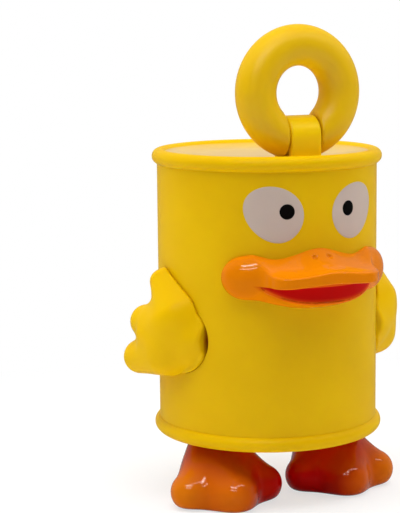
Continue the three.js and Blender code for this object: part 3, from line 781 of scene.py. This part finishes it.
# Colours
yellow = drifting(srgb(224, 178, 3), srgb(230, 185, 3))
satin_yellow = moulded("satin_yellow", yellow, 0.32, 900, 0.12, 0.06)
lid_yellow = moulded("lid_yellow", yellow, 0.2, 900, 0.06, 0.4, sheen=0.9)
# The strap's yellow is painted lighter than the can's: painted light for the top light its front catches.
lit_strap_yellow = drifting(srgb(244, 200, 4), srgb(248, 206, 4))
ring_yellow = moulded("ring_yellow", yellow, 0.36, 900, 0.12, 0.25)
strap_yellow = moulded("strap_yellow", lit_strap_yellow, 0.3, 900, 0.1, 0.15)
# Inside the barrel, where the wing's peg shows through the slit, the wing is painted dark red-brown: painted
# shade in the slit.
wing_slit_shade_stops = at_places(
    (barrel_radius - 2.4, srgb(150, 40, 4)),
    (barrel_radius - 1.2, srgb(222, 160, 6)),
    (barrel_radius, srgb(234, 187, 3)),
)
wing_yellow = moulded("wing_yellow", wing_slit_shade_stops, 0.32, 900, 0.12, 0.06, measure=off_axis)
lip_red, deep_red = srgb(198, 60, 3), srgb(196, 4, 2)
bill_stops = at_places((-1.6, srgb(229, 126, 2)), (-0.8, srgb(218, 106, 2)), (0.2, lip_red))
gloss_orange = moulded("gloss_orange", bill_stops, 0.09, 700, 0.04, 0.45, 0, measure=in_mouth)
# The feet are painted deep red near the can and orange further out: painted shade of the can over the feet.
foot_shade_stops = at_places(
    (22, srgb(206, 5, 2)),
    (29, srgb(196, 36, 3)),
    (36, srgb(202, 88, 8)),
    (43, srgb(220, 118, 12)),
)
foot_orange = moulded("foot_orange", foot_shade_stops, 0.09, 700, 0.04, 0.5, 0, measure=painted_shade_under_can)
# The mouth's red runs to orange near the smile: this is the lip's paint, made lighter there as painted light
# against the shade in the crease under the upper bill.
mouth_paint_and_light_stops = at_places((-0.2, srgb(226, 98, 4)), (0.4, srgb(208, 42, 3)), (1.1, deep_red))
mouth_red = moulded("mouth_red", mouth_paint_and_light_stops, 0.4, 700, 0.1, 0.05, measure=in_mouth)
eye_white = moulded("eye_white", drifting(srgb(196, 177, 165), srgb(202, 183, 171)), 0.4, 700, 0.08)
pupil_black = moulded("pupil_black", drifting(srgb(8, 7, 7), srgb(14, 12, 12)), 0.4, 700, 0.08, 0.1)
# The plug is painted darker amber toward the floor of its cup: painted shade in the recess.
plug_shade_stops = at_places((barrel_radius - 1.5, srgb(196, 108, 22)), (barrel_radius + 0.6, srgb(246, 218, 172)))
milky_plug = moulded("milky_plug", plug_shade_stops, 0.4, 700, 0.1, 0.3, 0.3, measure=off_axis)


# Pieces, each a net of its own cell size over a box with some room round the form
tail_cell, bill_cell, mouth_cell, wing_cell = 0.7, 0.45, 0.4, 0.55
foot_cell, ring_cell, small_cell = 0.6, 0.5, 0.4


def dressed(name, points, faces, material, nodes, slot, body="duck"):
    made = make(name, points, faces, material)
    return finish_piece(made, nodes, body)


finish_piece(can_shell(), ["can_body"])
tail_net = net(tail_field, [-30, 12, above(-10)], [30, 66, above(50)], tail_cell)
dressed("tail", *tail_net, satin_yellow, ["can_body"], "satin_yellow")

bill_low = [-rim_radius, -barrel_radius - scoop_proud - 3, above(scoop_bottom - 3)]
bill_high = [rim_radius, -8, above(bridge_height + 3)]
bill_net = net(bill_field, bill_low, bill_high, bill_cell)
dressed("bill_form", *bill_net, gloss_orange, ["bill"], "gloss_orange")
mouth_low = [-mouth_limit - 3, -barrel_radius - scoop_proud, above(mouth_bottom - 4)]
mouth_high = [mouth_limit + 3, -barrel_radius + 14, above(lip_bottom + 3)]
mouth_net = net(mouth_field, mouth_low, mouth_high, mouth_cell)
dressed("mouth_lining", *mouth_net, mouth_red, ["mouth_panel"], "mouth_red")

wing_low = [barrel_radius / 2, -wing_front - 6, above(wing_middle - wing_front - 4)]
wing_high = [barrel_radius + 2 * wing_thick, wing_front + 4, above(wing_middle + wing_top + 6)]
wing_points, wing_faces = net(wing_field, wing_low, wing_high, wing_cell)
wing_off = np.hypot(wing_points[:, 0], wing_points[:, 1]) - barrel_radius
easing = smooth_step((wing_off - crease_from) / crease_span)
wing_points = smoothed(wing_points, wing_faces, easing, crease_rounds)
span = toes[1][1] + 4
foot_points, foot_faces = net(foot_field, [-span, -span, -2], [span, span, base_bottom + 1], foot_cell)
for name, side in (("left", 1), ("right", -1)):
    flip = np.array([side, 1, 1])
    order = slice(None) if side > 0 else slice(None, None, -1)
    wing = wing_points * flip, wing_faces[:, order]
    dressed(name + "_wing_form", *wing, wing_yellow, [name + "_wing"], "satin_yellow")
    turn = side * math.radians(splays[name])
    spin = np.array([[math.cos(turn), -math.sin(turn), 0], [math.sin(turn), math.cos(turn), 0], [0, 0, 1]])
    foot = (foot_points * flip) @ spin.T + [side * foot_spacing / 2, ankle_back, 0], foot_faces[:, order]
    dressed(name + "_foot_form", *foot, foot_orange, [name + "_foot"], "gloss_orange")
    eye = on_barrel(eye_outline(side), side * eye_angle, eye_height, eye_proud)
    dressed(name + "_eye_form", *eye, eye_white, [name + "_eye"], "eye_white")
    pupil = on_barrel(pupil_outline(), side * pupil_angle + gaze, pupil_height, 2 * eye_proud)
    dressed(name + "_pupil_form", *pupil, pupil_black, [name + "_pupil"], "pupil_black")

ring_place = np.array([0, ring_y, ring_axis])
reach = ring_radius + ring_tube
ring_low_end = [-reach - 2, -ring_tube - 2, -ring_tube - 2]
ring_high_end = [reach + 2, ring_tube + 2, 2 * reach]
ring_points, ring_faces = net(ring_field, ring_low_end, ring_high_end, ring_cell)
ring_points = ring_points + ring_place
dressed("ring_form", ring_points, ring_faces, ring_yellow, ["pull_ring"], "satin_yellow", "ring")
strap_points, strap_faces = net(strap_field, [-8, -9, -9], [8, 9, 10], small_cell)
strap_points = strap_points + ring_place
dressed("strap_form", strap_points, strap_faces, strap_yellow, ["ring_strap"], "satin_yellow")
plug_low, plug_high = [-12, 20, above(plug_height - 16)], [12, 40, above(plug_height + 12)]
plug_net = net(plug_field, plug_low, plug_high, small_cell)
dressed("plug_form", *plug_net, milky_plug, ["rear_plug"], "milky_plug")


# Floor, light and camera
camera_azimuth = -26.4
floor_half, floor_grey = 3.0, 0.94
floor_near, floor_far = 0.07, 0.2  # metres over which the floor turns white to the camera
floor_white = 0.65  # how white it is to the camera inside that


def studio_floor(name):
    """A pale matt floor that keeps shadows near the object and is white to the camera further off."""
    material = bpy.data.materials.new(name)
    material.use_nodes = True
    tree = material.node_tree
    nodes, links = tree.nodes, tree.links
    shader = nodes["Principled BSDF"]
    shader.inputs["Base Color"].default_value = (floor_grey, floor_grey, floor_grey, 1)
    shader.inputs["Roughness"].default_value = 0.9
    shader.inputs["Specular IOR Level"].default_value = 0.1
    white = nodes.new("ShaderNodeEmission")
    place = nodes.new("ShaderNodeTexCoord")
    distance = nodes.new("ShaderNodeVectorMath")
    distance.operation = "LENGTH"
    links.new(place.outputs["Object"], distance.inputs[0])
    fade = nodes.new("ShaderNodeMapRange")
    fade.interpolation_type = "SMOOTHSTEP"
    fade.inputs["From Min"].default_value = floor_near
    fade.inputs["From Max"].default_value = floor_far
    fade.inputs["To Min"].default_value = floor_white
    links.new(distance.outputs["Value"], fade.inputs["Value"])
    seen = nodes.new("ShaderNodeLightPath")
    share = math_node(tree, "MULTIPLY", fade.outputs["Result"], seen.outputs["Is Camera Ray"])
    mix = nodes.new("ShaderNodeMixShader")
    links.new(share, mix.inputs["Fac"])
    links.new(shader.outputs["BSDF"], mix.inputs[1])
    links.new(white.outputs["Emission"], mix.inputs[2])
    links.new(mix.outputs["Shader"], nodes["Material Output"].inputs["Surface"])
    return material


floor_mesh = bpy.data.meshes.new("floor")
corners = [(x * floor_half, y * floor_half, 0) for x, y in ((-1, -1), (1, -1), (1, 1), (-1, 1))]
floor_mesh.from_pydata(corners, [], [(0, 1, 2, 3)])
floor_mesh.materials.append(studio_floor("floor"))
floor = bpy.data.objects.new("floor", floor_mesh)
bpy.context.scene.collection.objects.link(floor)
floor.visible_glossy = False

# White studio all round for the camera; as a light it is bright behind the object and dim in front of it
world_front, world_back = 0.06, 0.9
world_gloss = 0.28  # share of it that shows in gloss
glow_from, glow_to = -0.35, 0.8  # it brightens between these, from -1 at the camera to 1 behind the object
world = bpy.data.worlds.new("studio")
bpy.context.scene.world = world
world.use_nodes = True
sky = world.node_tree
background = sky.nodes["Background"]
background.inputs["Color"].default_value = (1, 1, 1, 1)
look = sky.nodes.new("ShaderNodeTexCoord")
backward = sky.nodes.new("ShaderNodeVectorMath")
backward.operation = "DOT_PRODUCT"
turn = math.radians(camera_azimuth)
backward.inputs[1].default_value = (-math.sin(turn), math.cos(turn), 0)
sky.links.new(look.outputs["Generated"], backward.inputs[0])
glow = sky.nodes.new("ShaderNodeMapRange")
glow.interpolation_type = "SMOOTHSTEP"
glow.inputs["From Min"].default_value = glow_from
glow.inputs["From Max"].default_value = glow_to
glow.inputs["To Min"].default_value = world_front
glow.inputs["To Max"].default_value = world_back
sky.links.new(backward.outputs["Value"], glow.inputs["Value"])
seen = sky.nodes.new("ShaderNodeLightPath")
in_gloss = math_node(sky, "MULTIPLY_ADD", seen.outputs["Is Glossy Ray"], world_gloss - 1, 1)
as_light = math_node(sky, "MULTIPLY", glow.outputs["Result"], in_gloss)
strength = math_node(sky, "MAXIMUM", seen.outputs["Is Camera Ray"], as_light)
sky.links.new(strength, background.inputs["Strength"])


lamp_distance, lamp_aim = 0.9, 50  # metres from the can, and millimetres above its lower rim


def softbox(name, azimuth, elevation, width, height, power):
    """A rectangular lamp that looks at the middle of the can."""
    data = bpy.data.lights.new(name, "AREA")
    data.shape = "RECTANGLE"
    data.size, data.size_y = width, height
    data.energy = power
    lamp = bpy.data.objects.new(name, data)
    bpy.context.scene.collection.objects.link(lamp)
    turn, tilt = math.radians(azimuth), math.radians(elevation)
    way = Vector((math.sin(turn) * math.cos(tilt), -math.cos(turn) * math.cos(tilt), math.sin(tilt)))
    lamp.location = Vector((0, axis_y * MM, above(lamp_aim) * MM)) + way * lamp_distance
    lamp.rotation_euler = way.to_track_quat("Z", "Y").to_euler()
    return lamp


# Wide boxes give the soft light, and narrow strips show only as highlights on gloss
for box_lamp in (
    softbox("left_box", -105, 45, 0.7, 0.7, 3.8),
    softbox("right_box", 65, 40, 0.7, 0.7, 2.8),
    softbox("top_box", -26, 75, 0.6, 0.6, 6.1),
    softbox("right_rim", 128, 12, 0.2, 0.8, 0.9),
    softbox("left_rim", 178, 12, 0.2, 0.8, 0.7),
):
    box_lamp.visible_glossy = False
for strip in (
    softbox("front_strip", -39, 46, 0.5, 0.08, 1.5),
    softbox("lower_strip", -39, 31, 0.5, 0.05, 0.7),
    softbox("edge_strip", 5, 55, 1.4, 0.08, 1.7),
):
    strip.visible_diffuse = False

# The photograph's camera, fitted to the can's rims: 400 by 513 pixels
picture_height = 513
sensor = 36
focal_pixels = 1674.9
axis_pixel = 67.2  # the lens's axis is this far right of the picture's middle
camera_distance, camera_height = 545.3, 136.2  # from the can's axis, and above its lower rim
camera_pitch, camera_roll = 8.53, -0.246

camera_data = bpy.data.cameras.new("camera")
camera_data.sensor_width = sensor
camera_data.lens = focal_pixels / picture_height * sensor
camera_data.shift_x = -axis_pixel / picture_height
camera = bpy.data.objects.new("camera", camera_data)
bpy.context.scene.collection.objects.link(camera)
turn = math.radians(camera_azimuth)
camera.location = Vector(
    (math.sin(turn) * camera_distance, axis_y - math.cos(turn) * camera_distance, above(camera_height))
) * MM
heading = Matrix.Rotation(turn, 4, "Z")
tilt = Matrix.Rotation(math.radians(90 - camera_pitch), 4, "X")
roll = Matrix.Rotation(math.radians(camera_roll), 4, "Z")
camera.rotation_euler = (heading @ tilt @ roll).to_euler()
bpy.context.scene.camera = camera
bpy.context.scene.view_settings.view_transform = "Standard"
